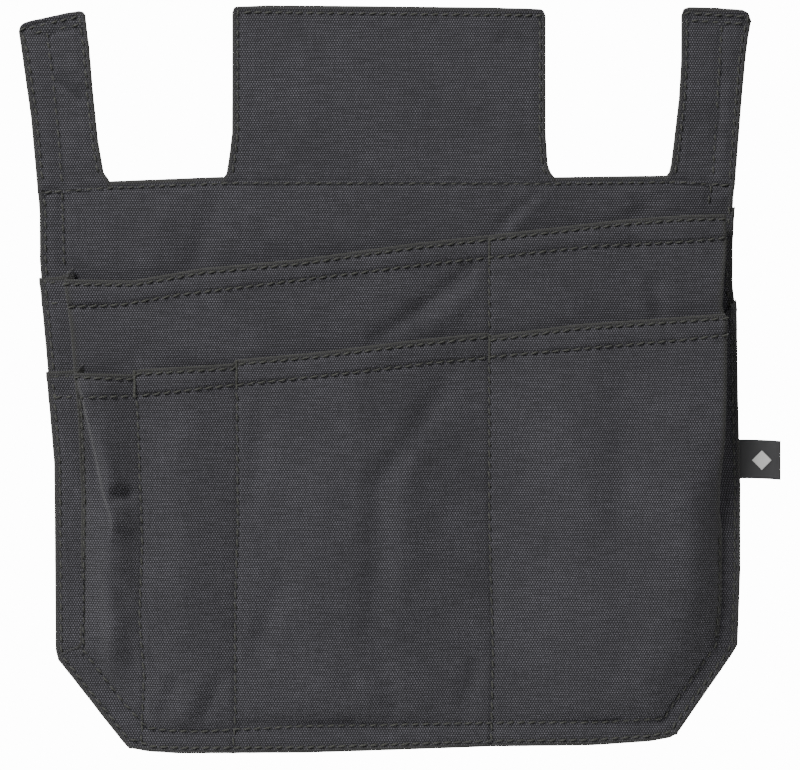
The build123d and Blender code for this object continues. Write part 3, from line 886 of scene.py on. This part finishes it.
def flap_pieces(name, body, sides_and_top, radius, held, row_ends, more_rows, seed):
    """The front and rear cloths of a flap or tab, and the stitches on them."""
    left, right, top = sides_and_top
    edge = upright(left)[::-1] + top[1:-1] + upright(right)
    rows = [flap_row(left, right, top, *row_ends)] + more_rows

    def height(x, z):
        free = ease((z - top_row(x) - 1) / 10)
        return (PANEL_TOP + turned(from_edges(x, z, [edge])) + side_hems(x, z) * ease((z + 1) / 3)
                + free * (folds(x, z, held) + ripple(x, z, seed, 0.6)) + sewn(x, z, rows + [TOP_ROW], 1))

    def back_height(x, z):
        free = ease((z - top_row(x) - 1) / 10)
        return (CLOTH + turned(from_edges(x, z, [edge])) - 0.3 * free * ripple(x, z, seed, 0.45)
                + sewn(x, z, rows + [TOP_ROW], 4))
    middle = [curve([(70, (left[0][1] + right[0][1]) / 2), (-4, (left[-1][1] + right[-1][1]) / 2)])]
    bend_rows = [over(TOP_ROW, up) for up in (8.5, 6.4, 4.3, 2.2)]
    x, z = net([curve(left)] + middle + [curve(right)],
               [rounded_top(left, right, top, radius)] + bend_rows + [curve(TOP_ROW)])
    front = sheet_over(f"{name}_front_cloth", x, z, height, CANVAS, [edge])
    rear = sheet_over(f"{name}_rear_cloth", x, z, back_height, LINING, [edge], rear=True)
    thread_front = stitches(f"{name}_stitches_front", rows, height, seed=seed)
    thread_rear = stitches(f"{name}_stitches_rear", rows, back_height, rear=True, seed=seed + 1)
    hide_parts(f"{name}_front")
    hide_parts(f"{name}_lining")
    joint = JOINTS[f"{body}_fold"]
    axis, pivot = joint["axis"], np.array(joint["pos_m"]) / MM
    foot = np.array([pivot[0], 0, float(top_row(pivot[0]))])
    for piece in (front, rear, thread_front, thread_rear):
        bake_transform(piece)


# ---- tapes ----
def tape(place, node, body, hooks):
    """A sewn-on tape: a slab with soft corners and a field of hooks or loops, inside its CAD node's box. It
    lies along the fold that it serves."""
    kind, material, seed = ("hook", HOOK_FACE, 50) if hooks else ("loop", LOOP_FACE, 60)
    name, slot = f"{place}_{kind}_tape_face", f"{kind}_tape"
    axis = JOINTS["centre_flap_fold" if place == "centre" else f"{place}_tab_fold"]["axis"]
    direction = (-axis[0], -axis[2])
    low, high = corners(node)
    centre = (low + high) / 2
    across = np.array([direction[0], 0, direction[1]])
    along = np.array([-direction[1], 0, direction[0]])
    c, s = abs(direction[0]), abs(direction[1])
    width, height = np.linalg.solve([[c, s], [s, c]], [high[0] - low[0], high[2] - low[2]])
    u, v = np.meshgrid(stations(width), stations(height))
    s, t = (u - 0.5) * width, (0.5 - v) * height
    d = np.minimum(width / 2 - np.abs(s), height / 2 - np.abs(t))
    stand = (TAPE * 0.62) * ease(d / 0.8) ** 0.5 - 0.2 * np.exp(-((d - 2.0) / 0.8) ** 2)
    stand += 0.05 * ripple(s * 3, t * 3, seed)
    base = centre[None, None] + s[..., None] * across + t[..., None] * along
    base[..., 1] = low[1] + np.maximum(stand, 0.1)
    slab = solid_sheet(name, base, 0.5, material, flat=np.stack([s, t], 2), flip=True)
    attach(slab, body)
    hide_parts(node)
    out, up = width / 2 - 2, height / 2 - 2
    row = [(-out, -up), (out, -up), (out, up), (-out, up), (-out, 0.1 - up)]
    placed = [tuple((centre + p * across + q * along)[[0, 2]]) for p, q in row]
    sewing = stitches(f"{name}_stitches", [placed], lambda x, z: low[1] + TAPE * 0.52, rear=True, pitch=3.0,
                      seed=seed)
    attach(sewing, body)
    bristle(f"{name}_pile", body, centre, across, along, width - 7, height - 7, low[1] + TAPE * 0.55,
            high[1] - low[1], material, seed, hooks)


def bristle(name, body, centre, across, along, width, height, floor, tall, material, seed, hooks):
    """Hooks in straight rows, or loops thrown about, as bent strands standing on a tape."""
    random = np.random.default_rng(seed)
    step = 1.5 if hooks else 1.25
    cols, rows = int(width / step), int(height / step)
    radius, rise = (0.11, tall * 0.42) if hooks else (0.07, tall * 0.40)
    bend = np.linspace(0, math.pi * (0.8 if hooks else 1.0), 6)
    sides = 4
    vertices, faces, uv = [], [], []
    for r in range(rows):
        for c in range(cols):
            place = np.array([(c + 0.5) / cols - 0.5, (r + 0.5) / rows - 0.5]) * [width, height]
            turn = 0.0 if hooks else random.uniform(0, 2 * math.pi)
            place = place + (0 if hooks else random.normal(0, 0.35, 2))
            spine = np.stack([-0.35 * np.cos(bend), rise * np.sin(bend)], 1)
            way = across * math.cos(turn) + along * math.sin(turn)
            side = np.cross(way, [0, 1, 0])
            start = centre + place[0] * across + place[1] * along
            start[1] = floor
            ring = []
            for a, b in spine:
                for k in range(sides):
                    angle = 2 * math.pi * k / sides + 0.4
                    lean = way * 0.7 + np.array([0, 0.7, 0])
                    offset = radius * (math.cos(angle) * side + math.sin(angle) * lean)
                    ring.append(start + a * way + np.array([0, b, 0]) + offset)
            base = len(vertices)
            vertices += ring
            uv += [(a * 3, b) for a, b in spine for _ in range(sides)]
            faces += (tube_faces(len(spine), sides) + base).tolist()
    piece = mesh_piece(name, vertices, faces, material, np.array(uv))
    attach(piece, body)


# ---- label ----
def label_wave(s, t):
    """How far the label bends back at s out of the seam and t down it."""
    return 0.22 * np.sin(s * 0.42) * np.sin(t * 3.1 + 0.4)


def label():
    """A ribbon that leaves the side seam, turns and goes back in, 1.7 mm deep in the seam at both ends."""
    low, high = corners("label_ribbon")
    reach, tall, thick, gap = high[0] - low[0], high[2] - low[2], 0.35, 0.22
    steps, half_y = 16, gap + thick / 2
    out = np.linspace(-1.7, reach - 0.6, steps)
    turn = np.linspace(0, math.pi, 9)[1:-1]
    path_s = np.concatenate([out, reach - 0.6 + 0.5 * np.sin(turn), out[::-1]])
    path_y = half_y * np.concatenate([-np.ones(steps), -np.cos(turn), np.ones(steps)])
    s, t = np.meshgrid(path_s, np.linspace(0, 1, 20))
    y = np.broadcast_to(path_y, s.shape) + label_wave(s, t)
    z = high[2] - t * tall - 0.6 * (s / reach) ** 2 + 0.5
    walked = np.concatenate([[0], np.cumsum(np.hypot(np.diff(path_s), np.diff(path_y)))])
    ribbon = solid_sheet("side_label_ribbon", np.stack([low[0] + s, y, z], 2), thick, LABEL_CLOTH,
                         flat=np.stack([np.broadcast_to(walked, s.shape), z], 2))
    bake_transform(ribbon)
    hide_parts("label_ribbon")

    mark_low, mark_high = corners("label_diamond")
    middle = (mark_low + mark_high) / 2
    half = (mark_high[0] - mark_low[0]) / 2
    a, b = np.meshgrid(np.linspace(-1, 1, 14), np.linspace(1, -1, 14))
    px, pz = middle[0] + half * (a + b) / 2, middle[2] + half * (b - a) / 2
    raised = mark_low[1] - 0.02 - 0.10 * (1 - np.maximum(np.abs(a), np.abs(b)) ** 6)
    mark = solid_sheet("side_label_mark", np.stack([px, raised + label_wave(px - low[0], 0.5), pz], 2), 0.2,
                       LABEL_WHITE)
    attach(mark, "side_label")
    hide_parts("label_diamond")


# ---- bartacks ----
def bartacks():
    """Dense bars of short stitches, at the top of each dividing seam."""
    bars = [(-98.6, -69.3, -79.2, front_height), (-60.4, -65.6, -76, front_height),
            (MAIN_SEAM_X, -55.8, -66, front_height), (MAIN_SEAM_X, -19.2, -29.5, rear_height)]
    made = []
    for k, (x, top, low, height) in enumerate(bars):
        rungs = [[(x - 0.75, z + 0.12), (x + 0.75, z - 0.12)] for z in np.arange(low, top, 0.52)]
        made.append(stitches(f"bartack_{k}", rungs, height, pitch=1.5, seed=40 + k))
    for piece in made:
        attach(piece, "bag")
    bpy.context.view_layer.update()
    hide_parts("pocket_bartacks")


# ---- the room ----
VIEW_WIDTH = 300.0        # what the picture takes in, at the bag
VIEW_CENTRE = (0.75, -74.6)
CAMERA_AWAY = 2.4         # in metres, like the lamps' places
LAMP_AIM = (0, 0, -0.08)


def camera():
    data = bpy.data.cameras.new("camera")
    data.sensor_width = 36
    data.lens = data.sensor_width * CAMERA_AWAY / (VIEW_WIDTH * MM)
    data.clip_end = 50
    eye = add_object("camera", data)
    eye.location = (VIEW_CENTRE[0] * MM, -CAMERA_AWAY, VIEW_CENTRE[1] * MM)
    eye.rotation_euler = (math.pi / 2, 0, 0)
    bpy.context.scene.camera = eye


def lamp(name, place, size, power):
    data = bpy.data.lights.new(name, "AREA")
    data.size, data.energy = size, power
    light = add_object(name, data)
    light.location = place
    light.rotation_euler = (Vector(LAMP_AIM) - Vector(place)).to_track_quat("-Z", "Y").to_euler()


def sky():
    """Soft studio light all round, and a bright wall beyond the bag."""
    world = bpy.data.worlds.new("studio")
    bpy.context.scene.world = world
    world.use_nodes = True
    tree = world.node_tree
    background = tree.nodes["Background"]
    place = tree.nodes.new("ShaderNodeTexCoord")
    split = tree.nodes.new("ShaderNodeSeparateXYZ")
    bright = tree.nodes.new("ShaderNodeMapRange")
    bright.interpolation_type = "SMOOTHSTEP"
    for name, value in (("From Min", 0.955), ("From Max", 0.988), ("To Min", 0.24), ("To Max", 14.0)):
        bright.inputs[name].default_value = value
    tree.links.new(place.outputs["Generated"], split.inputs[0])
    tree.links.new(split.outputs[1], bright.inputs["Value"])
    tree.links.new(bright.outputs[0], background.inputs["Strength"])
    background.inputs["Color"].default_value = (1, 1, 1, 1)


def floor():
    size, level = 0.36, cad_low[2] - 0.03
    ring = [(size * math.cos(a), size * math.sin(a), level) for a in np.linspace(0, 2 * math.pi, 97)[:-1]]
    mesh = bpy.data.meshes.new("floor")
    mesh.from_pydata(ring, [], [list(range(len(ring)))])
    disc = add_object("floor", mesh)
    pale = Nodes("pale_floor")
    place = pale.add("ShaderNodeTexCoord").outputs["Object"]
    pale.surface(pale.mix(pale.noise(place, 30.0), opaque([0.80] * 3), opaque([0.84] * 3)), 0.8)
    mesh.materials.append(pale.material)


# ---- everything ----
# The flat areas of the panel's two cloths and the rear and front pockets', in square metres, as estimated.
LARGE_CLOTH_AREAS = (0.0522, 0.0522, 0.0405, 0.0345)


def bag_stitches():
    """The rows of stitches on the cloths of the bag's own body."""
    left_edge = part_of(upright(BODY_EDGE_ROW[:len(BODY_LEFT) - 2]), -34, -4)
    body = [TOP_ROW, left_edge, part_of(LEFT_TAB_HEM, -30, -2), part_of(RIGHT_TAB_HEM, -7, 1)]
    dividers = [part_of(PEN_SEAM, -209, -80), part_of(POUCH_SEAM, -210, -77), part_of(MAIN_SEAM, -208.5, -67)]
    return [
        stitches("body_stitches", body, body_height, seed=2),
        stitches("body_stitches_rear", BACK_ROWS, panel_back_height, rear=True, seed=3),
        stitches("rear_pocket_stitches", REAR_ROWS + [part_of(MAIN_SEAM, -54, -30)], rear_height, seed=4),
        stitches("front_pocket_stitches", FRONT_ROWS + dividers + CLOSING_ROWS + SIDE_ROWS + [LOWER_EDGE_ROW],
                 front_height, seed=5)]


def bag_body():
    """The panel, the pockets, their side walls and their stitches."""
    large = [*body_sheets(), rear_pocket_face(), front_pocket_face()]
    walls = {"rear_left": gusset("rear", "left", REAR_FLANGE, rear_height, -34.4, 3.4, 0.8),
             "rear_right": gusset("rear", "right", REAR_FLANGE, rear_height, -7.5, 0.0, 0.8, 4.6),
             "front_left": gusset("front", "left", FRONT_FLANGE, front_height, -69.6, 2.6, 0.9),
             "front_right": gusset("front", "right", FRONT_FLANGE, front_height, -42.5, 0.0, 0.9, 6.4)}
    threads = bag_stitches()
    for name, (piece, rows, flange_height, size) in walls.items():
        threads.append(stitches(f"{name}_flange_stitches", rows, flange_height, seed=6))
    for piece in threads:
        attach(piece, "bag")
    for piece in large + [wall[0] for wall in walls.values()]:
        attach(piece, "bag")
    for piece, area in zip(large, LARGE_CLOTH_AREAS):
        places = np.array([v.co for v in piece.data.vertices])
        size = places.max(0) - places.min(0)


def build():
    camera()
    lamp("key", (-0.68, -0.88, 0.92), 0.55, 31)
    lamp("fill", (0.9, -1.9, 0.2), 1.6, 5)
    lamp("behind", (0.5, 1.6, 0.8), 1.2, 26)
    sky()
    floor()
    bag_body()
    flap_pieces("flap", "centre_flap", (FLAP_LEFT, FLAP_RIGHT, FLAP_TOP), 2.2, FLAP_FOLDS, (2.5, 2.7), [], 31)
    flap_pieces("left_tab", "left_tab", (LEFT_TAB_LEFT, LEFT_TAB_RIGHT, LEFT_TAB_TOP), 3.4, LEFT_TAB_FOLDS,
                (0, 2.5), [part_of(LEFT_TAB_HEM, 1, 59), [(-137, 57.2), (-118.6, 60.6)]], 33)
    flap_pieces("right_tab", "right_tab", (RIGHT_TAB_LEFT, RIGHT_TAB_RIGHT, RIGHT_TAB_TOP), 3.4,
                RIGHT_TAB_FOLDS, (3.2, 1),
                [part_of(RIGHT_TAB_HEM, 4, 61), [(109.3, 62.2), (129.4, 60.8)]], 35)
    for place, body, hook_node in (("centre", "centre_flap", "flap_hook_tape"),
                                   ("left", "left_tab", "left_hook_tape"),
                                   ("right", "right_tab", "right_hook_tape")):
        tape(place, hook_node, body, True)
        tape(place, f"{place}_loop_tape", "bag", False)
    bartacks()
    label()


build()
